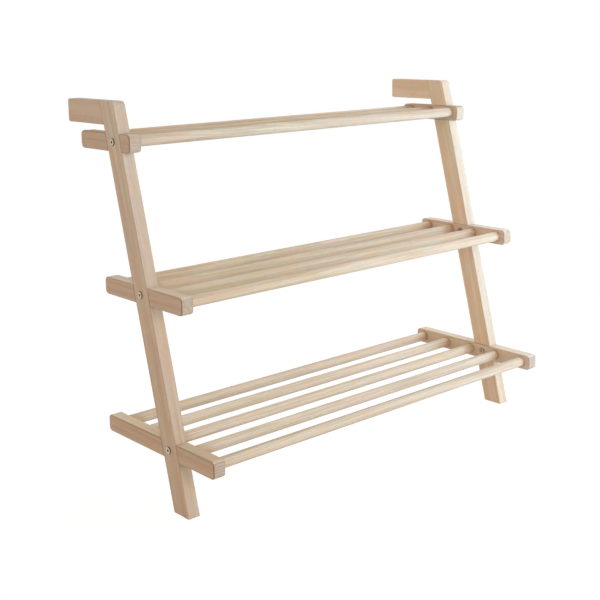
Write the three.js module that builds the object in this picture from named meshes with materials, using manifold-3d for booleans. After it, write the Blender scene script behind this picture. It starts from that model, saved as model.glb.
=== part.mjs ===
// A three-tier boot rack of raw beech that leans against a wall.
//
// Each side frame is one leaning upright, a short arm that reaches back from its top to the wall,
// and three level crossbars that are lapped over the upright. Round rods join the two frames and
// make the shelves. A connector bolt and a sleeve nut hold every lap joint.
//
// Millimetres. X runs along the rods, Y runs back to the wall and Z runs up. The origin is on the
// floor, under the middle of the whole rack.

import * as THREE from "three";
import { mergeVertices } from "three/addons/utils/BufferGeometryUtils.js";
import Module from "manifold-3d";

const wasm = await Module();
wasm.setup();

// Whole rack. The width is taken over the uprights, and the heads of the bolts stand out from it.
const FRAME_WIDTH = 870;
const DEPTH = 404;
const HEIGHT = 700;
const GAP = 0.3;
const OVERSHOOT = 6;

// Wooden sticks
const STICK_THICKNESS = 24;
const UPRIGHT_WIDTH = 41;
const ARM_HEIGHT = 41;
const CROSSBAR_HEIGHT = 31.5;
const LEAN = THREE.MathUtils.degToRad(14.5);
const FOOT_FROM_FRONT = 74;
const EASED_EDGE = 1;
const CROSSBAR_EASED_EDGE = 2;
const EASED_STEPS = 3;
const UPRIGHT_TOP_RADIUS = 10;
const ARM_END_RADIUS = 4;
const CROSSBAR_END_RADIUS = 8;
const ARC_STEPS = 6;

// Lap joints
const CROSSBAR_INSET = 1;
const UPRIGHT_WEB = 12;

// Rods
const ROD_DIAMETER = 20;
const ROD_SINK = 10;
const ROD_MARGIN = 22;
const ROD_SIDES = 32;

// Shelves: the underside and the front end of the crossbars, their length, the number of rods,
// and how far the rods sit above the middle of the crossbars
const SHELVES = [
  { name: "bottom", underside: 93.5, fromFront: 0, length: 318, rods: 5, rodRise: 0.5 },
  { name: "middle", underside: 356, fromFront: 74.5, length: 233.5, rods: 4, rodRise: 1 },
  { name: "top", underside: 614, fromFront: 210, length: 156, rods: 3, rodRise: 2.5 },
];

// Connector bolts and sleeve nuts, whose flat heads lie on the wood
const HEAD_DIAMETER = 13;
const HEAD_DEPTH = 1.7;
const SHANK_DIAMETER = 5;
const SHANK_END = 21;
const SLEEVE_DIAMETER = 7.5;
const SOCKET_ACROSS_CORNERS = 4.6;
const SOCKET_DEPTH = 1.4;
const BOLT_SETBACK = 2.5;
const BOLT_RISE = 1;
const BOLT_SIDES = 20;

// Dowels between the uprights and the arms
const DOWEL_DIAMETER = 8;
const DOWEL_LENGTH = 40;
const DOWEL_SPACING = 18;
const DOWEL_SIDES = 12;

const X_AXIS = new THREE.Vector3(1, 0, 0);
const Y_AXIS = new THREE.Vector3(0, 1, 0);
const Z_AXIS = new THREE.Vector3(0, 0, 1);

const SIDES = [
  { name: "left", outward: -1 },
  { name: "right", outward: 1 },
];

// Places that several pieces share

const FRONT_Y = -DEPTH / 2;
const WALL_Y = DEPTH / 2;
const UPRIGHT_DEPTH = UPRIGHT_WIDTH / Math.cos(LEAN);
const CROSSBAR_INNER_FACE = CROSSBAR_INSET + STICK_THICKNESS;
const HEAD_RISE = GAP + HEAD_DEPTH;

function uprightFrontY(z) {
  return FRONT_Y + FOOT_FROM_FRONT + z * Math.tan(LEAN);
}

function uprightBackY(z) {
  return uprightFrontY(z) + UPRIGHT_DEPTH;
}

// X of a plane that lies a distance in from the outer face of a side frame
function planeX(side, inward) {
  return side.outward * (FRAME_WIDTH / 2 - inward);
}

function crossbarMiddleZ(shelf) {
  return shelf.underside + CROSSBAR_HEIGHT / 2;
}

function crossbarFrontY(shelf) {
  return FRONT_Y + shelf.fromFront;
}

function rodCentreY(shelf, index) {
  const spacing = (shelf.length - 2 * ROD_MARGIN) / (shelf.rods - 1);
  return crossbarFrontY(shelf) + ROD_MARGIN + index * spacing;
}

function rodCentreZ(shelf) {
  return crossbarMiddleZ(shelf) + shelf.rodRise;
}

function boltCentre(shelf) {
  const z = crossbarMiddleZ(shelf) + BOLT_RISE;
  const y = (uprightFrontY(z) + uprightBackY(z)) / 2 + BOLT_SETBACK;
  return { y, z };
}

// Solids

function solidFrom(geometry) {
  const bare = geometry.clone();
  bare.deleteAttribute("normal");
  bare.deleteAttribute("uv");
  const merged = mergeVertices(bare, 1e-4);
  const mesh = new wasm.Mesh({
    numProp: 3,
    vertProperties: new Float32Array(merged.getAttribute("position").array),
    triVerts: new Uint32Array(merged.getIndex().array),
  });
  return new wasm.Manifold(mesh);
}

function geometryFrom(solid) {
  const mesh = solid.getMesh();
  const geometry = new THREE.BufferGeometry();
  geometry.setAttribute("position", new THREE.BufferAttribute(new Float32Array(mesh.vertProperties), 3));
  geometry.setIndex(new THREE.BufferAttribute(new Uint32Array(mesh.triVerts), 1));
  return geometry;
}

// Outline whose corners are rounded by arcs. A corner is a point with an optional radius.
function roundedOutline(corners) {
  const points = [];
  corners.forEach((corner, index) => {
    const before = corners.at(index - 1).point;
    const after = corners[(index + 1) % corners.length].point;
    if (!corner.radius) {
      points.push(corner.point);
      return;
    }
    const towardsBefore = before.clone().sub(corner.point).normalize();
    const towardsAfter = after.clone().sub(corner.point).normalize();
    const halfAngle = towardsBefore.angleTo(towardsAfter) / 2;
    const bisector = towardsBefore.clone().add(towardsAfter).normalize();
    const centre = corner.point.clone().addScaledVector(bisector, corner.radius / Math.sin(halfAngle));
    const reach = corner.radius / Math.tan(halfAngle);
    const start = corner.point.clone().addScaledVector(towardsBefore, reach).sub(centre);
    const sweep = Math.PI - 2 * halfAngle;
    for (let step = 0; step <= ARC_STEPS; step += 1) {
      const angle = (sweep * step) / ARC_STEPS;
      points.push(start.clone().rotateAround(new THREE.Vector2(), angle).add(centre));
    }
  });
  return points;
}

function corner(y, z, radius = 0) {
  return { point: new THREE.Vector2(y, z), radius };
}

// Prism along X over an anticlockwise outline in Y and Z, between two planes
function prismAlongX(outline, fromX, toX, eased = 0) {
  const depth = Math.abs(toX - fromX);
  const geometry = new THREE.ExtrudeGeometry(new THREE.Shape(outline), {
    depth: depth - 2 * eased,
    bevelEnabled: eased > 0,
    bevelThickness: eased,
    bevelSize: eased,
    bevelOffset: -eased,
    bevelSegments: EASED_STEPS,
  });
  geometry.translate(0, 0, Math.min(fromX, toX) + eased);
  geometry.applyMatrix4(new THREE.Matrix4().makeBasis(Y_AXIS, Z_AXIS, X_AXIS));
  return solidFrom(geometry);
}

function blockAlongX(fromX, toX, fromY, toY, fromZ, toZ) {
  const outline = [corner(fromY, fromZ), corner(toY, fromZ), corner(toY, toZ), corner(fromY, toZ)];
  return prismAlongX(roundedOutline(outline), fromX, toX);
}

function cylinderAlongX(diameter, fromX, toX, y, z, sides) {
  const length = Math.abs(toX - fromX);
  const geometry = new THREE.CylinderGeometry(diameter / 2, diameter / 2, length, sides);
  geometry.rotateZ(Math.PI / 2);
  geometry.translate((fromX + toX) / 2, y, z);
  return solidFrom(geometry);
}

function cylinderAlongY(diameter, fromY, toY, x, z, sides) {
  const geometry = new THREE.CylinderGeometry(diameter / 2, diameter / 2, toY - fromY, sides);
  geometry.translate(x, (fromY + toY) / 2, z);
  return solidFrom(geometry);
}

function subtractAll(solid, cutters) {
  return cutters.reduce((rest, cutter) => rest.subtract(cutter), solid);
}

// Materials

function wood(colour) {
  return new THREE.MeshStandardMaterial({ color: colour, roughness: 0.75, metalness: 0 });
}

function steel() {
  return new THREE.MeshStandardMaterial({ color: 0xb9b6b0, roughness: 0.35, metalness: 1 });
}

// Mesh whose own origin is moved to a given point of the rack
function meshAt(name, solid, material, origin) {
  const geometry = geometryFrom(solid);
  geometry.translate(-origin.x, -origin.y, -origin.z);
  geometry.computeVertexNormals();
  const mesh = new THREE.Mesh(geometry, material);
  mesh.name = name;
  mesh.position.copy(origin);
  return mesh;
}

// Holes for the bolts in the uprights, for the sleeve nuts in the crossbars and for the dowels

function boltHole(side, shelf) {
  const { y, z } = boltCentre(shelf);
  const outside = planeX(side, -OVERSHOOT);
  const web = planeX(side, UPRIGHT_WEB + OVERSHOOT);
  return cylinderAlongX(SHANK_DIAMETER + 2 * GAP, outside, web, y, z, BOLT_SIDES);
}

function sleeveHole(side, shelf) {
  const { y, z } = boltCentre(shelf);
  const web = planeX(side, UPRIGHT_WEB - OVERSHOOT);
  const inside = planeX(side, CROSSBAR_INNER_FACE + OVERSHOOT);
  return cylinderAlongX(SLEEVE_DIAMETER + 2 * GAP, web, inside, y, z, BOLT_SIDES);
}

function dowelHeights() {
  const middle = HEIGHT - ARM_HEIGHT / 2;
  return [middle - DOWEL_SPACING / 2, middle + DOWEL_SPACING / 2];
}

function dowelHole(side, z) {
  const x = planeX(side, STICK_THICKNESS / 2);
  const reach = DOWEL_LENGTH / 2 + GAP;
  const y = uprightBackY(z);
  return cylinderAlongY(DOWEL_DIAMETER + 2 * GAP, y - reach, y + reach, x, z, DOWEL_SIDES);
}

// Pieces

// The back edges of an upright aren't eased where the arm butts against them
function squareBehind(side) {
  const low = HEIGHT - ARM_HEIGHT + EASED_EDGE;
  const high = HEIGHT - EASED_EDGE;
  const depth = 2 * EASED_EDGE;
  const outline = roundedOutline([
    corner(uprightBackY(low) - depth, low),
    corner(uprightBackY(low), low),
    corner(uprightBackY(high), high),
    corner(uprightBackY(high) - depth, high),
  ]);
  return prismAlongX(outline, planeX(side, 0), planeX(side, STICK_THICKNESS));
}

function makeUpright(side) {
  const below = -OVERSHOOT * 2;
  const outline = roundedOutline([
    corner(uprightFrontY(below), below),
    corner(uprightBackY(below), below),
    corner(uprightBackY(HEIGHT), HEIGHT),
    corner(uprightFrontY(HEIGHT), HEIGHT, UPRIGHT_TOP_RADIUS),
  ]);
  const eased = prismAlongX(outline, planeX(side, 0), planeX(side, STICK_THICKNESS), EASED_EDGE);
  const stick = eased.add(squareBehind(side));
  const underFloor = blockAlongX(
    planeX(side, -OVERSHOOT),
    planeX(side, STICK_THICKNESS + OVERSHOOT),
    FRONT_Y,
    WALL_Y,
    below - OVERSHOOT,
    0,
  );
  const laps = SHELVES.map((shelf) => blockAlongX(
    planeX(side, UPRIGHT_WEB),
    planeX(side, STICK_THICKNESS + OVERSHOOT),
    FRONT_Y - OVERSHOOT,
    WALL_Y,
    shelf.underside - GAP,
    shelf.underside + CROSSBAR_HEIGHT + GAP,
  ));
  const bolts = SHELVES.map((shelf) => boltHole(side, shelf));
  const dowels = dowelHeights().map((z) => dowelHole(side, z));
  const solid = subtractAll(stick, [underFloor, ...laps, ...bolts, ...dowels]);
  const foot = new THREE.Vector3(planeX(side, STICK_THICKNESS / 2), uprightFrontY(0), 0);
  return meshAt(`upright_${side.name}`, solid, wood(0xd6b78f), foot);
}

function makeArm(side) {
  const underside = HEIGHT - ARM_HEIGHT;
  const inUpright = uprightFrontY(underside);
  const outline = roundedOutline([
    corner(inUpright, underside),
    corner(WALL_Y, underside, ARM_END_RADIUS),
    corner(WALL_Y, HEIGHT, ARM_END_RADIUS),
    corner(inUpright, HEIGHT),
  ]);
  const stick = prismAlongX(outline, planeX(side, 0), planeX(side, STICK_THICKNESS), EASED_EDGE);
  const low = underside - OVERSHOOT;
  const high = HEIGHT + OVERSHOOT;
  const upright = prismAlongX(
    roundedOutline([
      corner(uprightFrontY(low) - OVERSHOOT, low),
      corner(uprightBackY(low) + GAP, low),
      corner(uprightBackY(high) + GAP, high),
      corner(uprightFrontY(low) - OVERSHOOT, high),
    ]),
    planeX(side, -OVERSHOOT),
    planeX(side, STICK_THICKNESS + OVERSHOOT),
  );
  const dowels = dowelHeights().map((z) => dowelHole(side, z));
  const solid = subtractAll(stick, [upright, ...dowels]);
  const wallEnd = new THREE.Vector3(planeX(side, STICK_THICKNESS / 2), WALL_Y, HEIGHT - ARM_HEIGHT / 2);
  return meshAt(`arm_${side.name}`, solid, wood(0xdcb98c), wallEnd);
}

function makeCrossbar(side, shelf) {
  const front = crossbarFrontY(shelf);
  const back = front + shelf.length;
  const low = shelf.underside;
  const high = low + CROSSBAR_HEIGHT;
  const outline = roundedOutline([
    corner(front, low, CROSSBAR_END_RADIUS),
    corner(back, low, CROSSBAR_END_RADIUS),
    corner(back, high, CROSSBAR_END_RADIUS),
    corner(front, high, CROSSBAR_END_RADIUS),
  ]);
  const innerFace = planeX(side, CROSSBAR_INNER_FACE);
  const stick = prismAlongX(outline, planeX(side, CROSSBAR_INSET), innerFace, CROSSBAR_EASED_EDGE);
  const under = low - OVERSHOOT;
  const over = high + OVERSHOOT;
  const besideUpright = GAP / Math.cos(LEAN);
  const lap = prismAlongX(
    roundedOutline([
      corner(uprightFrontY(under) - besideUpright, under),
      corner(uprightBackY(under) + besideUpright, under),
      corner(uprightBackY(over) + besideUpright, over),
      corner(uprightFrontY(over) - besideUpright, over),
    ]),
    planeX(side, -OVERSHOOT),
    planeX(side, UPRIGHT_WEB + GAP),
  );
  const rodHoles = Array.from({ length: shelf.rods }, (_, index) => cylinderAlongX(
    ROD_DIAMETER + 2 * GAP,
    planeX(side, CROSSBAR_INNER_FACE - ROD_SINK - GAP),
    planeX(side, CROSSBAR_INNER_FACE + OVERSHOOT),
    rodCentreY(shelf, index),
    rodCentreZ(shelf),
    ROD_SIDES,
  ));
  const solid = subtractAll(stick, [lap, ...rodHoles, sleeveHole(side, shelf)]);
  const frontEnd = new THREE.Vector3(innerFace, front, crossbarMiddleZ(shelf));
  return meshAt(`crossbar_${shelf.name}_${side.name}`, solid, wood(0xd2b288), frontEnd);
}

function makeRod(shelf, index) {
  const reach = FRAME_WIDTH / 2 - CROSSBAR_INNER_FACE + ROD_SINK;
  const y = rodCentreY(shelf, index);
  const z = rodCentreZ(shelf);
  const solid = cylinderAlongX(ROD_DIAMETER, -reach, reach, y, z, ROD_SIDES);
  return meshAt(`rod_${shelf.name}_${index + 1}`, solid, wood(0xe2c9a4), new THREE.Vector3(0, y, z));
}

function hexSocket(fromX, toX, y, z) {
  return cylinderAlongX(SOCKET_ACROSS_CORNERS, fromX, toX, y, z, 6);
}

function makeBolt(side, shelf) {
  const { y, z } = boltCentre(shelf);
  const outerFace = planeX(side, -HEAD_RISE);
  const head = cylinderAlongX(HEAD_DIAMETER, outerFace, planeX(side, -GAP), y, z, BOLT_SIDES);
  const shank = cylinderAlongX(SHANK_DIAMETER, outerFace, planeX(side, SHANK_END), y, z, BOLT_SIDES);
  const socket = hexSocket(planeX(side, -OVERSHOOT), planeX(side, SOCKET_DEPTH - HEAD_RISE), y, z);
  const solid = head.add(shank).subtract(socket);
  return meshAt(`bolt_${shelf.name}_${side.name}`, solid, steel(), new THREE.Vector3(outerFace, y, z));
}

function makeSleeveNut(side, shelf) {
  const { y, z } = boltCentre(shelf);
  const outerEnd = planeX(side, UPRIGHT_WEB + GAP);
  const innerFace = planeX(side, CROSSBAR_INNER_FACE + HEAD_RISE);
  const flangeBack = planeX(side, CROSSBAR_INNER_FACE + GAP);
  const sleeve = cylinderAlongX(SLEEVE_DIAMETER, outerEnd, innerFace, y, z, BOLT_SIDES);
  const flange = cylinderAlongX(HEAD_DIAMETER, flangeBack, innerFace, y, z, BOLT_SIDES);
  const bore = cylinderAlongX(
    SHANK_DIAMETER + 2 * GAP,
    planeX(side, UPRIGHT_WEB - OVERSHOOT),
    planeX(side, SHANK_END + GAP),
    y,
    z,
    BOLT_SIDES,
  );
  const socketFloor = planeX(side, CROSSBAR_INNER_FACE + HEAD_RISE - SOCKET_DEPTH);
  const socket = hexSocket(planeX(side, CROSSBAR_INNER_FACE + OVERSHOOT), socketFloor, y, z);
  const solid = subtractAll(sleeve.add(flange), [bore, socket]);
  return meshAt(`sleeve_nut_${shelf.name}_${side.name}`, solid, steel(), new THREE.Vector3(innerFace, y, z));
}

function makeDowel(side, z, level) {
  const x = planeX(side, STICK_THICKNESS / 2);
  const y = uprightBackY(z);
  const half = DOWEL_LENGTH / 2;
  const solid = cylinderAlongY(DOWEL_DIAMETER, y - half, y + half, x, z, DOWEL_SIDES);
  return meshAt(`dowel_${level}_${side.name}`, solid, wood(0xc9a878), new THREE.Vector3(x, y, z));
}

function makeSideFrame(side) {
  const frame = new THREE.Group();
  const [lowerDowel, upperDowel] = dowelHeights();
  frame.add(makeUpright(side), makeArm(side));
  frame.add(makeDowel(side, lowerDowel, "lower"), makeDowel(side, upperDowel, "upper"));
  for (const shelf of SHELVES) {
    frame.add(makeCrossbar(side, shelf), makeBolt(side, shelf), makeSleeveNut(side, shelf));
  }
  return frame;
}

function makeShelfRods(shelf) {
  const rods = new THREE.Group();
  for (let index = 0; index < shelf.rods; index += 1) {
    rods.add(makeRod(shelf, index));
  }
  return rods;
}

const rack = new THREE.Group();
rack.add(...SIDES.map(makeSideFrame), ...SHELVES.map(makeShelfRods));

export default rack;
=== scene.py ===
import math
import random
from collections import namedtuple

import bmesh
import bpy
from mathutils import Matrix, Vector


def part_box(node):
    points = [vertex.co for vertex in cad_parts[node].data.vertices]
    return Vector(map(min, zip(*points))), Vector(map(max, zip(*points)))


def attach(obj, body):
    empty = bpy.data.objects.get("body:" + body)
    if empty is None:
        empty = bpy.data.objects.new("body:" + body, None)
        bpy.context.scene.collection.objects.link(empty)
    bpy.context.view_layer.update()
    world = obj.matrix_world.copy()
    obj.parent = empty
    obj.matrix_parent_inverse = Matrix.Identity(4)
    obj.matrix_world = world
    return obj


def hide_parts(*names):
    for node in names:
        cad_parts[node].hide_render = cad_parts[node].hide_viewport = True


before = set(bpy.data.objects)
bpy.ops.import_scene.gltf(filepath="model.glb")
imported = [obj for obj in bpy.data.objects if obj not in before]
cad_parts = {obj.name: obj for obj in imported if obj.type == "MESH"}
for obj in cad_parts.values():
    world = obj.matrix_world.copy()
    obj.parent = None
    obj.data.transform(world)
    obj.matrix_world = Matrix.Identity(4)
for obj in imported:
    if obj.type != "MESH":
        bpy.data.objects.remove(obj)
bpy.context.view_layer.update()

# Boot rack of raw beech, dressed for rendering. Metres. X runs along the rods, Y runs back to
# the wall and Z runs up, with the origin on the floor under the middle of the rack. A colour or
# a tint is given as red, green and blue.

MM = 0.001
LEAN = math.radians(14.5)
SIDES = {"left": -1, "right": 1}
SHELVES = ("bottom", "middle", "top")

# Camera, solved from the straight edges in the photograph for a square frame
CAMERA_PLACE = Vector((-1.4273, -1.5316, 0.8156))
CAMERA_YAW = math.radians(40.731)
CAMERA_PITCH = math.radians(-11.502)
CAMERA_ROLL = math.radians(-0.898)
FRAME_PIXELS = 600
FOCAL_PIXELS = 1080.8
PRINCIPAL_X = 280.9
PRINCIPAL_Y = 249.35
SENSOR_WIDTH = 36.0

# Square lamps: a cool one in front on the right, one high up behind on the right, and a weak
# one in front on the left. The power is in watts.
Lamp = namedtuple("Lamp", "place target size power colour")
LAMPS = {
    "key": Lamp((1.0, -1.35, 0.62), (0.3, 0.0, 0.35), 0.9, 19.2, (0.67, 0.83, 1.0)),
    "high": Lamp((1.2, 0.6, 1.6), (0.2, 0.0, 0.3), 1.2, 12.8, (0.98, 0.99, 1.0)),
    "front": Lamp((-0.4, -1.8, 1.0), (0.3, 0.0, 0.35), 1.0, 4.4, (0.95, 0.98, 1.0)),
}

# Light of the room from the front, from behind and from the ceiling, and the parts of the unit
# direction between which one gives way to the next
FRONT_LIGHT = (1.30, 1.11, 0.94)
BACK_LIGHT = (1.39, 1.19, 1.01)
CEILING_LIGHT = (0.36, 0.33, 0.30)
FRONT_TO_BACK = 0.4
CEILING_LOW = 0.25
CEILING_HIGH = 0.75

# White paper floor. It shows a faint shadow near the rack, and none from the far distance on.
# Near the rack its own white is a little stronger, which makes up for the share of lit paper.
WHITE = (1.0, 1.0, 1.0)
FLOOR_COLOUR = (0.78, 0.78, 0.775)
FLOOR_SIZE = 60.0
SHADOW_SHARE = 0.12
SHADOW_NEAR = 0.7
SHADOW_FAR = 2.2
PAPER_GLOW = 1.07

# Sockets of a Mix node that are used for colours, and the samples of an openness
MIX_FACTOR = 0
MIX_FIRST = 6
MIX_SECOND = 7
MIX_RESULT = 2
OPENNESS_SAMPLES = 8


def make_camera():
    data = bpy.data.cameras.new("camera")
    data.sensor_fit = "HORIZONTAL"
    data.sensor_width = SENSOR_WIDTH
    data.lens = FOCAL_PIXELS / FRAME_PIXELS * SENSOR_WIDTH
    data.shift_x = 0.5 - PRINCIPAL_X / FRAME_PIXELS
    data.shift_y = PRINCIPAL_Y / FRAME_PIXELS - 0.5
    camera = bpy.data.objects.new("camera", data)
    bpy.context.scene.collection.objects.link(camera)
    turn = Matrix.Rotation(-CAMERA_YAW, 4, "Z")
    tilt = Matrix.Rotation(math.pi / 2 + CAMERA_PITCH, 4, "X")
    roll = Matrix.Rotation(CAMERA_ROLL, 4, "Z")
    camera.matrix_world = Matrix.Translation(CAMERA_PLACE) @ turn @ tilt @ roll
    bpy.context.scene.camera = camera


class Graph:
    """Short calls for making and linking the nodes of one material or world."""

    def __init__(self, owner):
        owner.use_nodes = True
        self.tree = owner.node_tree
        self.tree.nodes.clear()

    def node(self, kind, inputs=(), **settings):
        made = self.tree.nodes.new(kind)
        for name, value in settings.items():
            setattr(made, name, value)
        for socket, value in dict(inputs).items():
            self.feed(made.inputs[socket], value)
        return made

    def feed(self, socket, value):
        """Links an output to a socket, or sets the socket's own value."""
        if isinstance(value, bpy.types.NodeSocket):
            self.tree.links.new(value, socket)
        elif socket.type == "RGBA":
            socket.default_value = (*value, 1.0)
        else:
            socket.default_value = value

    def math(self, operation, *values, clamp=False):
        made = self.node("ShaderNodeMath", enumerate(values), operation=operation, use_clamp=clamp)
        return made.outputs[0]

    def vector(self, operation, *values):
        made = self.node("ShaderNodeVectorMath", enumerate(values), operation=operation)
        return made.outputs["Value" if operation in ("LENGTH", "DOT_PRODUCT") else "Vector"]

    def parts(self, vector):
        return self.node("ShaderNodeSeparateXYZ", {"Vector": vector}).outputs

    def facing(self, normal, direction):
        """How far a surface faces along a direction or against it, from 0 to 1."""
        return self.math("ABSOLUTE", self.vector("DOT_PRODUCT", normal, direction))

    def ramp(self, value, low, high, to_low=0.0, to_high=1.0):
        """Smooth step of a value from one range to another."""
        inputs = enumerate((value, low, high, to_low, to_high))
        made = self.node("ShaderNodeMapRange", inputs, interpolation_type="SMOOTHSTEP")
        return made.outputs[0]

    def mix(self, factor, first, second, blend="MIX"):
        inputs = {MIX_FACTOR: factor, MIX_FIRST: first, MIX_SECOND: second}
        made = self.node("ShaderNodeMix", inputs, data_type="RGBA", blend_type=blend)
        return made.outputs[MIX_RESULT]

    def mix_shaders(self, factor, first, second):
        return self.node("ShaderNodeMixShader", enumerate((factor, first, second))).outputs[0]

    def tint(self, colour, tint):
        return self.mix(1.0, colour, tint, "MULTIPLY")

    def stretched(self, place, scale, offset=(0.0, 0.0, 0.0)):
        """Coordinates stretched by a scale along each axis, then moved."""
        return self.vector("MULTIPLY_ADD", place, scale, offset)

    def noise(self, place, octaves, roughness=0.5, distortion=0.0, output="Fac"):
        inputs = {
            "Vector": place,
            "Scale": 1.0,
            "Detail": octaves,
            "Roughness": roughness,
            "Distortion": distortion,
        }
        return self.node("ShaderNodeTexNoise", inputs).outputs[output]

    def openness(self, distance):
        """1 on an open surface, and less where something stands within a distance of it."""
        made = self.node("ShaderNodeAmbientOcclusion", {"Distance": distance}, samples=OPENNESS_SAMPLES)
        return made.outputs["AO"]


# Light

def make_lamp(name, lamp):
    data = bpy.data.lights.new(name, "AREA")
    data.shape = "SQUARE"
    data.size = lamp.size
    data.energy = lamp.power
    data.color = lamp.colour
    made = bpy.data.objects.new(name, data)
    made.visible_camera = False
    bpy.context.scene.collection.objects.link(made)
    aim = (Vector(lamp.target) - Vector(lamp.place)).to_track_quat("-Z", "Y")
    made.matrix_world = Matrix.Translation(lamp.place) @ aim.to_matrix().to_4x4()


def background_ray(graph):
    """1 for the rays that see the background itself: camera, glossy and transmission rays."""
    path = graph.node("ShaderNodeLightPath").outputs
    seen = graph.math("MAXIMUM", path["Is Camera Ray"], path["Is Glossy Ray"])
    return graph.math("MAXIMUM", seen, path["Is Transmission Ray"])


def make_world():
    world = bpy.data.worlds.new("studio")
    bpy.context.scene.world = world
    graph = Graph(world)
    direction = graph.parts(graph.node("ShaderNodeTexCoord").outputs["Generated"])
    backward = graph.ramp(direction["Y"], -FRONT_TO_BACK, FRONT_TO_BACK)
    around = graph.mix(backward, FRONT_LIGHT, BACK_LIGHT)
    upward = graph.ramp(direction["Z"], CEILING_LOW, CEILING_HIGH)
    colour = graph.mix(upward, around, CEILING_LIGHT)
    room = graph.node("ShaderNodeBackground", {"Color": colour, "Strength": 1.0}).outputs[0]
    white = graph.node("ShaderNodeBackground", {"Color": WHITE, "Strength": 1.0}).outputs[0]
    mixed = graph.mix_shaders(background_ray(graph), room, white)
    graph.node("ShaderNodeOutputWorld", {"Surface": mixed})


def make_paper():
    """White to the camera, with a share of the lit paper near the rack for its shadow."""
    material = bpy.data.materials.new("floor_paper")
    graph = Graph(material)
    distance = graph.vector("LENGTH", graph.node("ShaderNodeTexCoord").outputs["Object"])
    whiteness = graph.ramp(distance, SHADOW_NEAR, SHADOW_FAR, 1 - SHADOW_SHARE, 1.0)
    share = graph.math("MULTIPLY", background_ray(graph), whiteness)
    glow = graph.ramp(distance, SHADOW_NEAR, SHADOW_FAR, PAPER_GLOW, 1.0)
    paper = graph.node("ShaderNodeBsdfDiffuse", {"Color": FLOOR_COLOUR}).outputs[0]
    white = graph.node("ShaderNodeEmission", {"Color": WHITE, "Strength": glow}).outputs[0]
    mixed = graph.mix_shaders(share, paper, white)
    graph.node("ShaderNodeOutputMaterial", {"Surface": mixed})
    return material


def make_floor():
    half = FLOOR_SIZE / 2
    mesh = bpy.data.meshes.new("floor")
    corners = [(-half, -half, 0), (half, -half, 0), (half, half, 0), (-half, half, 0)]
    mesh.from_pydata(corners, [], [(0, 1, 2, 3)])
    mesh.materials.append(make_paper())
    floor = bpy.data.objects.new("floor", mesh)
    bpy.context.scene.collection.objects.link(floor)


# Wood. Each matrix turns the X axis into the direction of the grain. The colour of the wood is
# worked out in the turned frame, in millimetres from the middle of the piece.

GRAIN_ALONG_X = Matrix.Identity(3)
GRAIN_ALONG_Y = Matrix.Rotation(math.pi / 2, 3, "Z")
GRAIN_ALONG_UPRIGHT = Matrix.Rotation(-LEAN, 3, "X") @ Matrix.Rotation(-math.pi / 2, 3, "Y")
UPRIGHT_WIDTH = 41 * MM

# Colour of each piece of wood. The right frame's paler colours are partly painted light, for the stronger
# light on that side.
UPRIGHT_COLOUR = {"left": (0.595, 0.51, 0.415), "right": (0.69, 0.59, 0.465)}
CROSSBAR_COLOUR = {
    "left": {"bottom": (0.555, 0.445, 0.35), "middle": (0.565, 0.475, 0.385), "top": (0.57, 0.47, 0.39)},
    "right": {"bottom": (0.62, 0.54, 0.435), "middle": (0.62, 0.515, 0.42), "top": (0.58, 0.495, 0.375)},
}
ROD_COLOUR = {"bottom": (0.685, 0.64, 0.54), "middle": (0.675, 0.635, 0.53), "top": (0.66, 0.635, 0.545)}
# How light each rod is, from the front of its shelf to the back: painted light, for how much light reaches
# each rod
ROD_PAINTED_LIGHT = {
    "bottom": (0.95, 1.01, 1.02, 1.01, 0.97),
    "middle": (1.01, 1.01, 0.99, 0.97),
    "top": (0.97, 0.98, 1.02),
}

# Painted light: tints of the faces that are turned away from X, lighter or darker and cooler or warmer
# by the way they face the lamps, and of the crossbars' ends, which are partly the end grain's own
# colour and partly painted light. The uprights' tint is also that of their own ends and of the arms' ends.
UPRIGHT_FACE_LIGHT_TINT = {"left": (0.98, 1.0, 1.02), "right": (0.92, 1.02, 1.15)}
ARM_TOP_LIGHT_TINT = {"left": (0.90, 0.95, 0.95), "right": (0.85, 0.93, 0.95)}
CROSSBAR_TOP_LIGHT_TINT = {
    "left": {"bottom": (1.19, 1.39, 1.38), "middle": (1.23, 1.44, 1.60), "top": (1.08, 1.27, 1.28)},
    "right": {"bottom": (1.09, 1.21, 1.32), "middle": (1.10, 1.31, 1.53), "top": (0.91, 1.03, 1.18)},
}
CROSSBAR_END_TINT_AND_LIGHT = {
    "left": {"bottom": (0.91, 0.93, 0.90), "middle": (0.86, 0.86, 0.79), "top": (0.92, 0.91, 0.86)},
    "right": {"bottom": (0.81, 0.77, 0.75), "middle": (0.89, 0.91, 0.84), "top": (1.09, 1.16, 1.25)},
}

# Painted light along the grain, paler and cooler towards the top of an upright and the right end of a rod,
# where
# the light is stronger: the tints of its two ends, and half the length between them
Fade = namedtuple("Fade", "start finish half_length")
UPRIGHT_LIGHT_FADE = {
    "left": Fade((0.945, 0.89, 0.84), (1.025, 1.06, 1.10), 340.0),
    "right": Fade((0.975, 0.93, 0.88), (1.025, 1.05, 1.04), 340.0),
}
ROD_LIGHT_FADE = Fade((0.98, 0.97, 0.95), (1.01, 1.03, 1.07), 380.0)

# Strength of the figure in the wood, and depth of the painted shade on the eased edges, on the rims beside
# them, in the corners and on the ends of the rods. The front rod of a shelf has the least painted shade.
UPRIGHT_FIGURE = {"left": 0.75, "right": 0.6}
ARM_FIGURE = 0.4
ROD_FIGURE = 1.6
STICK_PAINTED_SHADE = {"edge": 0.2, "rim": 0.2, "corner": 0.08}
CROSSBAR_PAINTED_SHADE = {
    "left": {"edge": 0.9, "rim": 0.3, "corner": 0.15},
    "right": {"edge": 0.6, "rim": 0.1, "corner": 0.35},
}
FRONT_ROD_PAINTED_SHADE = {"corner": 0.3, "blush": 0.1}
ROD_PAINTED_SHADE = {"corner": 0.5, "blush": 1.0}
DOWEL_PAINTED_SHADE = {"corner": 0.6}

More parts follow.
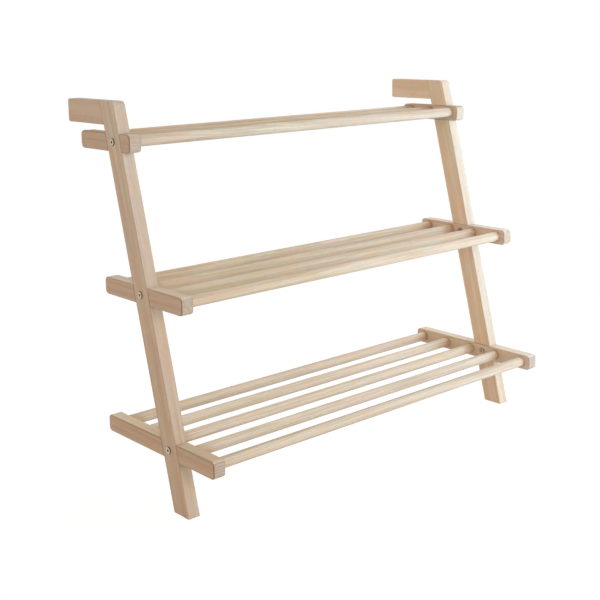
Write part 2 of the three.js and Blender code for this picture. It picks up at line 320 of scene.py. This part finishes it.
# Heart of the tree: its place across and up from the middle of the piece, the spacing of the
# rings around it, how much they wander, and how dark they are on the end grain
Heart = namedtuple("Heart", "across up spacing wander end_depth")
CROSSBAR_HEART = {
    "left": {
        "bottom": Heart(3.0, -75.0, 4.9, 0.25, 0.8),
        "middle": Heart(-50.0, 50.0, 12.0, 0.8, 0.4),
        "top": Heart(14.0, -90.0, 6.5, 0.8, 0.35),
    },
    "right": {},
}

# Heart of every other piece: how far it may lie to the side, the least and the most that it
# lies above or below, and its rings
HEART_ACROSS = 26
HEART_NEAREST = 24
HEART_FARTHEST = 60
RING_SPACING = 3.4
RING_WANDER = 1.0
RING_END_DEPTH = 0.5

# Growth rings: how they drift along the grain, how far they sway and vary in width where they
# wander fully, and the parts of a ring in which its late wood comes and goes
RING_DRIFT = 0.012
RING_SWAY = 9.0
RING_UNEVENNESS = 2.2
LATE_WOOD_RISE = (0.35, 0.92)
LATE_WOOD_FALL = (1.0, 0.94)
LATE_WOOD_DEPTH = 0.32

# Patterns in the wood: waves to the millimetre along the grain and across it, the values
# between which the pattern shows, and how far it shows
Pattern = namedtuple(
    "Pattern",
    "along across low high depth octaves roughness distortion",
    defaults=(0.0, 1.0, 1.0, 2.0, 0.5, 0.0),
)
SWAYS = Pattern(0.006, 0.03, octaves=1.0)
RING_WIDTHS = Pattern(0.002, 0.11, octaves=1.0)
FIBRES = Pattern(0.02, 1.6, 0.42, 0.7, 0.3, octaves=4.0, roughness=0.6)
BANDS = Pattern(0.0022, 0.055, 0.36, 0.64, distortion=0.4)
TINTS = Pattern(0.006, 0.09, 0.35, 0.65)
LINES = Pattern(0.0045, 0.24, 0.46, 0.72, 0.55, roughness=0.55)
FLECKS = Pattern(0.3, 1.5, 0.3, 0.12, 0.2)
PATCHES = Pattern(0.028, 0.06, 0.34, 0.66, roughness=0.55)
SPECKS = Pattern(0.09, 0.2, 0.5, 0.75, 0.25, octaves=1.0)
PORES = Pattern(0.3, 0.9, 0.45, 0.75, 0.6, roughness=0.6)
PATTERN_SHIFT = 50
PATCH_SHARE = 0.8

# Tints that make the pale, warm and dark wood from the colour of a piece
PALE_WOOD = (1.06, 1.07, 1.08)
WARM_WOOD = (0.97, 0.92, 0.88)
DARK_WOOD = (0.80, 0.70, 0.62)
PALE_END = (1.02, 1.06, 1.12)
DARK_END = (0.70, 0.65, 0.64)
# Painted shade on the eased edges, in the corners where pieces meet and on a crossbar behind the upright
EDGE_SHADE = (0.45, 0.33, 0.26)
CORNER_SHADE = (0.50, 0.32, 0.20)
JOINT_SHADE = (0.36, 0.22, 0.14)

# Tints laid over the wood
PINK_TINT = (1.025, 0.965, 0.975)
STRAW_TINT = (1.0, 1.012, 0.96)
RED_TINT = (1.045, 0.965, 0.91)
GREY_TINT = (0.98, 1.005, 1.03)
# Painted shade: the warmer tint of the corners where pieces meet, and the brown of the rods' ends
CORNER_SHADE_TINT = (1.0, 0.88, 0.76)
END_SHADE_TINT = (0.82, 0.68, 0.58)

# Brown streak along the left upright, in front of its middle: its place across the stick, its
# reach to each side, its depth, the values of the bands between faintest and whole, and what
# is left of it where it is faintest
STREAK_PLACE = -9.0
STREAK_REACH = 7.0
STREAK_DEPTH = {"left": 0.5, "right": 0.0}
STREAK_BREAKS = (0.3, 0.6)
STREAK_FAINTEST = 0.4

# How far a surface faces sideways or along the grain where one look gives way to another
CROSSWISE_FACING = (0.8, 0.4)
END_FACING = (0.55, 0.9)

# Painted shade: a dark line on the outer face of a crossbar, just behind the upright's proud edge
JOINT_LINE_PLACE = 0.9 * MM
JOINT_LINE_REACH = 1.9 * MM
JOINT_LINE_CORE = 0.3 * JOINT_LINE_REACH
JOINT_LINE_DEPTH = 0.75
OUTER_FACE_FROM = 425 * MM

# Painted shade on the eased edges: how far the surface turns from one face to the next where the shade
# starts and is full, how far it faces along the grain between a long edge and one round the end, the share
# of the shade on a long edge, and from how near to an edge its rim starts and is darkest
EDGE_TURN = (0.1, 0.45)
EDGE_TO_END = (0.1, 0.6)
LENGTHWISE_EDGE_SHARE = 0.4
RIM_WIDTH = 1.8
RIM_DARKEST = 0.5

# Painted shade in the corners where pieces meet, and on the longer ends of the rods that the crossbars
# shade:
# how near a surface counts, and how open the place is between the full tint and none
CORNER_REACH = 12 * MM
CORNER_TINT_OPENNESS = (0.3, 1.0)
CORNER_TINT_DEPTH = 2.0
DARK_CORNER_OPENNESS = (0.1, 0.8)
END_SHADE_REACH = 45 * MM
END_SHADE_OPENNESS = (0.82, 0.98)

# Surface of the wood: how low the late wood and the fibres lie, the strength and the depth of
# that relief, the gloss, and two values of the fibres with the roughness that each gives
LATE_WOOD_RELIEF = -0.4
FIBRE_RELIEF = -0.6
RELIEF_STRENGTH = 0.25
RELIEF_DEPTH = 0.15 * MM
WOOD_GLOSS = 0.1
FIBRE_ROUGHNESS = (0.3, 0.7, 0.65, 0.8)

WELD_DISTANCE = 0.01 * MM
WOOD_CREASE = math.radians(40)


def tinted(colour, tint):
    return tuple(value * share for value, share in zip(colour, tint))


def random_heart(chance):
    """Heart of the tree somewhere beside a piece, above it or below it."""
    side = chance.choice((-1, 1))
    across = chance.uniform(-HEART_ACROSS, HEART_ACROSS)
    up = side * chance.uniform(HEART_NEAREST, HEART_FARTHEST)
    return Heart(across, up, RING_SPACING, RING_WANDER, RING_END_DEPTH)


class Beech:
    """Raw beech: growth rings around a heart beside the piece, fibres along the grain, short
    flecks, bands and patches of pinker and paler wood and rings on the end grain, with painted light on
    faces and along the grain, and painted shade on the eased edges and in the corners where pieces meet."""

    def __init__(self, name, grain, centre, half, colour, corner, figure=1.0, heart=None, streak=0.0,
                 cross_tint=None, end_tint=WHITE, fade=None, joint=None, edge=0.0, rim=0.0, blush=0.0):
        chance = random.Random(name)
        self.offset = tuple(chance.uniform(-PATTERN_SHIFT, PATTERN_SHIFT) for _ in range(3))
        self.heart = heart or random_heart(chance)
        self.half = half
        self.colour = colour
        self.figure = figure
        self.dark = tinted(colour, DARK_WOOD)
        self.material = bpy.data.materials.new(name)
        self.graph = Graph(self.material)
        self.find_places(grain, centre)
        self.late = self.late_wood()
        self.fibre = self.noise(FIBRES)
        wood = self.patched(self.side_grain(streak))
        if cross_tint:
            wood = self.painted_face_light(wood, cross_tint)
        wood = self.graph.mix(self.graph.ramp(self.along, *END_FACING), wood, self.end_grain(end_tint))
        if fade:
            wood = self.faded(wood, fade)
        if joint is not None:
            wood = self.painted_joint_shade(wood, joint)
        if edge:
            wood = self.painted_edge_shade(wood, edge, rim)
        if blush:
            wood = self.painted_end_shade(wood, blush)
        self.finish(self.painted_corner_shade(wood, corner))

    def find_places(self, grain, centre):
        """Place in the rack in metres and in the piece in millimetres, and how far the surface
        faces sideways and along the grain."""
        graph = self.graph
        coordinates = graph.node("ShaderNodeTexCoord").outputs
        self.rack_place = coordinates["Object"]
        inputs = {
            "Vector": self.rack_place,
            "Location": centre,
            "Rotation": grain.to_euler(),
            "Scale": (MM, MM, MM),
        }
        self.place = graph.node("ShaderNodeMapping", inputs, vector_type="TEXTURE").outputs[0]
        self.sideways = graph.facing(coordinates["Normal"], (1.0, 0.0, 0.0))
        self.along = graph.facing(coordinates["Normal"], tuple(grain.col[0]))

    def stretched(self, pattern):
        scale = (pattern.along, pattern.across, pattern.across)
        return self.graph.stretched(self.place, scale, self.offset)

    def noise(self, pattern, output="Fac"):
        where = self.stretched(pattern)
        return self.graph.noise(where, pattern.octaves, pattern.roughness, pattern.distortion, output)

    def cells(self, pattern):
        """Distance from the nearest of many scattered points."""
        inputs = {"Vector": self.stretched(pattern), "Scale": 1.0}
        return self.graph.node("ShaderNodeTexVoronoi", inputs).outputs["Distance"]

    def shown(self, value, pattern, strength=1.0):
        """How far a pattern shows where it has a given value."""
        return self.graph.ramp(value, pattern.low, pattern.high, 0.0, pattern.depth * strength)

    def late_wood(self):
        """1 in the darker late wood of each growth ring."""
        graph = self.graph
        heart = self.heart
        reach = heart.wander * RING_SWAY
        swayed = graph.stretched(self.noise(SWAYS, "Color"), (0.0, reach, reach), self.place)
        spokes = graph.stretched(swayed, (0.0, 1.0, 1.0), (0.0, -heart.across, -heart.up))
        drift = graph.vector("DOT_PRODUCT", self.place, (RING_DRIFT, 0.0, 0.0))
        radius = graph.math("ADD", graph.vector("LENGTH", spokes), drift)
        rings = graph.math("DIVIDE", radius, heart.spacing)
        unevenness = heart.wander * RING_UNEVENNESS
        rings = graph.math("MULTIPLY_ADD", self.noise(RING_WIDTHS), unevenness, rings)
        growth = graph.math("FRACT", rings)
        rise = graph.ramp(growth, *LATE_WOOD_RISE)
        return graph.math("MULTIPLY", rise, graph.ramp(growth, *LATE_WOOD_FALL))

    def side_grain(self, streak):
        graph = self.graph
        figure = self.figure
        bands = self.noise(BANDS)
        pale = tinted(self.colour, PALE_WOOD)
        warm = tinted(self.colour, WARM_WOOD)
        wood = graph.mix(self.shown(bands, BANDS), pale, warm)
        tints = graph.mix(self.shown(self.noise(TINTS), TINTS), PINK_TINT, STRAW_TINT)
        wood = graph.mix(figure, wood, tints, "MULTIPLY")
        wood = graph.mix(graph.math("MULTIPLY", self.late, LATE_WOOD_DEPTH * figure), wood, self.dark)
        wood = graph.mix(self.shown(self.noise(LINES), LINES, figure), wood, self.dark)
        wood = graph.mix(self.shown(self.fibre, FIBRES, figure), wood, self.dark)
        wood = graph.mix(self.shown(self.cells(FLECKS), FLECKS), wood, self.dark)
        if streak:
            wood = self.streaked(wood, bands, streak)
        return wood

    def streaked(self, wood, bands, depth):
        graph = self.graph
        across = graph.parts(self.place)["Y"]
        away = graph.math("ABSOLUTE", graph.math("SUBTRACT", across, STREAK_PLACE))
        whole = graph.ramp(bands, *STREAK_BREAKS, STREAK_FAINTEST, 1.0)
        share = graph.math("MULTIPLY", graph.ramp(away, STREAK_REACH, 0.0, 0.0, depth), whole)
        return graph.mix(share, wood, self.dark)

    def patched(self, wood):
        """Cloudy patches of redder and greyer wood, each a few centimetres long."""
        graph = self.graph
        tints = graph.mix(self.shown(self.noise(PATCHES), PATCHES), RED_TINT, GREY_TINT)
        wood = graph.mix(PATCH_SHARE, wood, tints, "MULTIPLY")
        return graph.mix(self.shown(self.noise(SPECKS), SPECKS), wood, self.dark)

    def painted_face_light(self, wood, tint):
        """Painted light: another tint on the faces turned away from X, for the light they get by the way
        they face.
        """
        graph = self.graph
        return graph.mix(graph.ramp(self.sideways, *CROSSWISE_FACING), wood, graph.tint(wood, tint))

    def end_grain(self, tint):
        """Rings and pores, as they show where the surface cuts across the grain."""
        graph = self.graph
        end_colour = tinted(self.colour, tint)
        pale = tinted(end_colour, PALE_END)
        dark = tinted(end_colour, DARK_END)
        wood = graph.mix(graph.math("MULTIPLY", self.late, self.heart.end_depth), pale, dark)
        return graph.mix(self.shown(self.noise(PORES), PORES), wood, dark)

    def faded(self, wood, fade):
        # Painted light: paler and cooler towards the end of the grain where the light is stronger
        graph = self.graph
        along = graph.vector("DOT_PRODUCT", self.place, (1.0, 0.0, 0.0))
        share = graph.ramp(along, -fade.half_length, fade.half_length)
        return graph.tint(wood, graph.mix(share, fade.start, fade.finish))

    def painted_joint_shade(self, wood, foot_front):
        """Painted shade: a dark line where a crossbar comes out behind the upright, whose foot starts at a
        Y.
        """
        graph = self.graph
        across = (0.0, math.cos(LEAN), -math.sin(LEAN))
        upright_back = foot_front * math.cos(LEAN) + UPRIGHT_WIDTH
        behind = graph.math("SUBTRACT", graph.vector("DOT_PRODUCT", self.rack_place, across), upright_back)
        away = graph.math("ABSOLUTE", graph.math("SUBTRACT", behind, JOINT_LINE_PLACE))
        line = graph.ramp(away, JOINT_LINE_REACH, JOINT_LINE_CORE, 0.0, JOINT_LINE_DEPTH)
        from_middle = graph.math("ABSOLUTE", graph.parts(self.rack_place)["X"])
        outer = graph.math("GREATER_THAN", from_middle, OUTER_FACE_FROM)
        return graph.mix(graph.math("MULTIPLY", line, outer), wood, tinted(self.colour, JOINT_SHADE))

    def painted_edge_shade(self, wood, depth, rim):
        """Painted shade on the eased edges, with a fainter rim on the faces beside them, and darkest
        where a face turns into the end grain."""
        graph = self.graph
        squared = graph.math("POWER", self.sideways, 2.0)
        crosswise = graph.math("SQRT", graph.math("SUBTRACT", 1.0, squared, clamp=True))
        rounded = graph.ramp(graph.math("MULTIPLY", self.sideways, crosswise), *EDGE_TURN)
        strength = graph.ramp(self.along, *EDGE_TO_END, LENGTHWISE_EDGE_SHARE * depth, depth)
        near = []
        for part, reach in zip(graph.parts(self.place), self.half):
            away = graph.math("ABSOLUTE", part)
            near.append(graph.ramp(away, reach - RIM_WIDTH, reach - RIM_DARKEST))
        long_rims = graph.math("MULTIPLY", graph.math("MULTIPLY", near[1], near[2]), rim)
        end_rims = graph.math("MULTIPLY", graph.math("MULTIPLY", near[0], near[1]), depth)
        rims = graph.math("MAXIMUM", long_rims, end_rims)
        share = graph.math("MAXIMUM", graph.math("MULTIPLY", rounded, strength), rims)
        return graph.mix(share, wood, tinted(self.colour, EDGE_SHADE))

    def painted_end_shade(self, wood, depth):
        """Painted shade: browner wood over the last centimetres before a piece goes into another, which
        shades it.
        """
        graph = self.graph
        closeness = graph.ramp(graph.openness(END_SHADE_REACH), *END_SHADE_OPENNESS, depth, 0.0)
        return graph.mix(closeness, wood, END_SHADE_TINT, "MULTIPLY")

    def painted_corner_shade(self, wood, depth):
        # Painted shade: a warmer tint and then a darker one where other pieces stand close
        graph = self.graph
        openness = graph.openness(CORNER_REACH)
        share = graph.ramp(openness, *CORNER_TINT_OPENNESS, CORNER_TINT_DEPTH * depth, 0.0)
        wood = graph.mix(share, wood, graph.tint(wood, CORNER_SHADE_TINT))
        share = graph.ramp(openness, *DARK_CORNER_OPENNESS, depth, 0.0)
        return graph.mix(share, wood, tinted(self.colour, CORNER_SHADE))

    def finish(self, wood):
        graph = self.graph
        fibre_relief = graph.math("MULTIPLY", self.fibre, FIBRE_RELIEF)
        height = graph.math("MULTIPLY_ADD", self.late, LATE_WOOD_RELIEF, fibre_relief)
        relief = {"Strength": RELIEF_STRENGTH, "Distance": RELIEF_DEPTH, "Height": height}
        shader = graph.node("ShaderNodeBsdfPrincipled", {
            "Base Color": wood,
            "Roughness": graph.ramp(self.fibre, *FIBRE_ROUGHNESS),
            "Specular IOR Level": WOOD_GLOSS,
            "Normal": graph.node("ShaderNodeBump", relief).outputs[0],
        })
        graph.node("ShaderNodeOutputMaterial", {"Surface": shader.outputs[0]})


def smooth_edges(node):
    """Rounded edges shade as rounds and flat faces stay flat."""
    for polygon in node.data.polygons:
        polygon.use_smooth = True
    weld = node.modifiers.new("weld", "WELD")
    weld.merge_threshold = WELD_DISTANCE
    split = node.modifiers.new("crisp_corners", "EDGE_SPLIT")
    split.split_angle = WOOD_CREASE
    split.use_edge_sharp = False
    weighted = node.modifiers.new("even_faces", "WEIGHTED_NORMAL")
    weighted.keep_sharp = True


def dress_wood(name, grain, colour, half=None, **look):
    """Beech on a wooden node. Half its size along the grain and across it is taken from its box,
    unless it is given."""
    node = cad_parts[name]
    low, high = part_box(name)
    half = half or [abs(value) / MM for value in grain.transposed() @ ((high - low) / 2)]
    beech = Beech(f"{name}_beech", grain, (low + high) / 2, half, colour, **look)
    node.data.materials.clear()
    node.data.materials.append(beech.material)
    smooth_edges(node)


def dress_upright(side):
    """Beech along the lean, up to the pointed corners of the stick."""
    name = f"upright_{side}"
    low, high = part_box(name)
    half_length = (high.z - low.z) / 2 / math.cos(LEAN) + UPRIGHT_WIDTH / 2 * math.tan(LEAN)
    half = (half_length / MM, UPRIGHT_WIDTH / 2 / MM, (high.x - low.x) / 2 / MM)
    tint = UPRIGHT_FACE_LIGHT_TINT[side]
    dress_wood(name, GRAIN_ALONG_UPRIGHT, UPRIGHT_COLOUR[side], half, figure=UPRIGHT_FIGURE[side],
               streak=STREAK_DEPTH[side], fade=UPRIGHT_LIGHT_FADE[side], cross_tint=tint, end_tint=tint,
               **STICK_PAINTED_SHADE)


def dress_arm(side):
    dress_wood(f"arm_{side}", GRAIN_ALONG_Y, UPRIGHT_COLOUR[side], figure=ARM_FIGURE,
               cross_tint=ARM_TOP_LIGHT_TINT[side], end_tint=UPRIGHT_FACE_LIGHT_TINT[side], **STICK_PAINTED_SHADE)


def dress_dowels(side):
    for level in ("lower", "upper"):
        dress_wood(f"dowel_{level}_{side}", GRAIN_ALONG_Y, UPRIGHT_COLOUR[side], **DOWEL_PAINTED_SHADE)


def dress_crossbar(side, shelf):
    foot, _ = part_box(f"upright_{side}")
    dress_wood(f"crossbar_{shelf}_{side}", GRAIN_ALONG_Y, CROSSBAR_COLOUR[side][shelf],
               heart=CROSSBAR_HEART[side].get(shelf), cross_tint=CROSSBAR_TOP_LIGHT_TINT[side][shelf],
               end_tint=CROSSBAR_END_TINT_AND_LIGHT[side][shelf], joint=foot.y, **CROSSBAR_PAINTED_SHADE[side])


def dress_rods(shelf):
    for number, shade in enumerate(ROD_PAINTED_LIGHT[shelf], start=1):
        colour = tuple(value * shade for value in ROD_COLOUR[shelf])
        painted_shade = FRONT_ROD_PAINTED_SHADE if number == 1 else ROD_PAINTED_SHADE
        dress_wood(f"rod_{shelf}_{number}", GRAIN_ALONG_X, colour, figure=ROD_FIGURE, fade=ROD_LIGHT_FADE, **painted_shade)


# Connector bolts and sleeve nuts

HEAD_RADIUS = 6.5 * MM
HEAD_DEPTH = 1.7 * MM
HEAD_ROUND = 0.8 * MM
HEAD_ROUND_STEPS = 5
SHANK_RADIUS = 2.5 * MM
SHANK_CHAMFER = 0.4 * MM
SLEEVE_RADIUS = 3.75 * MM
SOCKET_APOTHEM = 2.0 * MM
SOCKET_CHAMFER = 0.2 * MM
SOCKET_DEPTH = 1.4 * MM
FASTENER_SIDES = 48
FASTENER_CREASE = math.radians(35)

# Their zinc: two greys each, the grey painted on the shaded places, waves to the metre in the grain, and
# the values between which each look gives way to the next. The nut's brown greys are painted reflection
# of the wood around it, and the bolt's cream greys are partly the zinc's own colour and partly painted
# reflection of warm light.
BOLT_GREYS = ((0.54, 0.48, 0.38), (0.44, 0.39, 0.31))
NUT_REFLECTION_GREYS = ((0.50, 0.37, 0.25), (0.40, 0.29, 0.19))
SHADED_GREY = (0.09, 0.07, 0.045)
ZINC_WAVES = (900.0, 900.0, 900.0)
ZINC_OCTAVES = 3.0
ZINC_COARSENESS = 0.6
ZINC_PATCHES = (0.35, 0.7)
ZINC_ROUGHNESS = (0.3, 0.7, 0.25, 0.4)
FLAT_FACING = (0.75, 0.97)
SOCKET_OPENNESS = (0.45, 0.85)


def make_zinc(name, greys):
    """Dull zinc in two greys, with painted shade on the rounded rim and inside the socket."""
    material = bpy.data.materials.new(name)
    graph = Graph(material)
    coordinates = graph.node("ShaderNodeTexCoord").outputs
    where = graph.stretched(coordinates["Object"], ZINC_WAVES)
    grain = graph.noise(where, ZINC_OCTAVES, ZINC_COARSENESS)
    colour = graph.mix(graph.ramp(grain, *ZINC_PATCHES), *greys)
    flat = graph.ramp(graph.facing(coordinates["Normal"], (1.0, 0.0, 0.0)), *FLAT_FACING)
    unshaded = graph.math("MULTIPLY", flat, graph.ramp(graph.openness(SOCKET_DEPTH), *SOCKET_OPENNESS))
    shader = graph.node("ShaderNodeBsdfPrincipled", {
        "Base Color": graph.mix(unshaded, SHADED_GREY, colour),
        "Metallic": 1.0,
        "Roughness": graph.ramp(grain, *ZINC_ROUGHNESS),
    })
    graph.node("ShaderNodeOutputMaterial", {"Surface": shader.outputs[0]})
    return material


def ring_of(bm, x, radius, y, z, hexagon):
    """Ring of vertices around an axis along X, round or along a hexagon of that apothem."""
    made = []
    for step in range(FASTENER_SIDES):
        angle = 2 * math.pi * step / FASTENER_SIDES
        reach = radius
        if hexagon:
            within = angle % (math.pi / 3) - math.pi / 6
            reach = radius / math.cos(within)
        made.append(bm.verts.new((x, y + reach * math.cos(angle), z + reach * math.sin(angle))))
    return made


def lathe(name, rings, y, z, material):
    """Closed piece from rings of (x, radius, hexagon) around an axis along X."""
    bm = bmesh.new()
    loops = [ring_of(bm, x, radius, y, z, hexagon) for x, radius, hexagon in rings]
    for first, second in zip(loops, loops[1:]):
        for step in range(FASTENER_SIDES):
            after = (step + 1) % FASTENER_SIDES
            bm.faces.new((first[step], first[after], second[after], second[step]))
    bm.faces.new(list(reversed(loops[0])))
    bm.faces.new(loops[-1])
    bmesh.ops.recalc_face_normals(bm, faces=bm.faces)
    for face in bm.faces:
        face.smooth = True
    mesh = bpy.data.meshes.new(name)
    bm.to_mesh(mesh)
    bm.free()
    mesh.materials.append(material)
    piece = bpy.data.objects.new(name, mesh)
    bpy.context.scene.collection.objects.link(piece)
    split = piece.modifiers.new("crisp_corners", "EDGE_SPLIT")
    split.split_angle = FASTENER_CREASE
    return piece


def make_fastener(node, part, direction, shank_radius, zinc):
    """Bolt or nut whose head faces one way along X: shank, rounded head and hexagon socket."""
    low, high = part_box(node)
    middle = (low + high) / 2
    face, end = (high.x, low.x) if direction > 0 else (low.x, high.x)
    rings = [
        (end, shank_radius - SHANK_CHAMFER, False),
        (end + direction * SHANK_CHAMFER, shank_radius, False),
        (face - direction * HEAD_DEPTH, shank_radius, False),
        (face - direction * HEAD_DEPTH, HEAD_RADIUS, False),
    ]
    for step in range(HEAD_ROUND_STEPS + 1):
        angle = math.pi / 2 * step / HEAD_ROUND_STEPS
        drop = HEAD_ROUND * (1 - math.sin(angle))
        radius = HEAD_RADIUS - HEAD_ROUND * (1 - math.cos(angle))
        rings.append((face - direction * drop, radius, False))
    rings += [
        (face, SOCKET_APOTHEM + SOCKET_CHAMFER, True),
        (face - direction * SOCKET_CHAMFER, SOCKET_APOTHEM, True),
        (face - direction * SOCKET_DEPTH, SOCKET_APOTHEM, True),
    ]
    piece = lathe(f"{node}_{part}", rings, middle.y, middle.z, zinc)
    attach(piece, "root")
    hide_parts(node)


def make_fasteners():
    bolt_zinc = make_zinc("dull_zinc", BOLT_GREYS)
    nut_zinc = make_zinc("zinc_painted_wood_reflection", NUT_REFLECTION_GREYS)
    for side, outward in SIDES.items():
        for shelf in SHELVES:
            make_fastener(f"bolt_{shelf}_{side}", "head", outward, SHANK_RADIUS, bolt_zinc)
            make_fastener(f"sleeve_nut_{shelf}_{side}", "flange", -outward, SLEEVE_RADIUS, nut_zinc)


make_camera()
for lamp_name, lamp in LAMPS.items():
    make_lamp(lamp_name, lamp)
make_world()
make_floor()
for side in SIDES:
    dress_upright(side)
    dress_arm(side)
    dress_dowels(side)
    for shelf in SHELVES:
        dress_crossbar(side, shelf)
for shelf in SHELVES:
    dress_rods(shelf)
make_fasteners()
bpy.context.scene.view_settings.view_transform = "Standard"
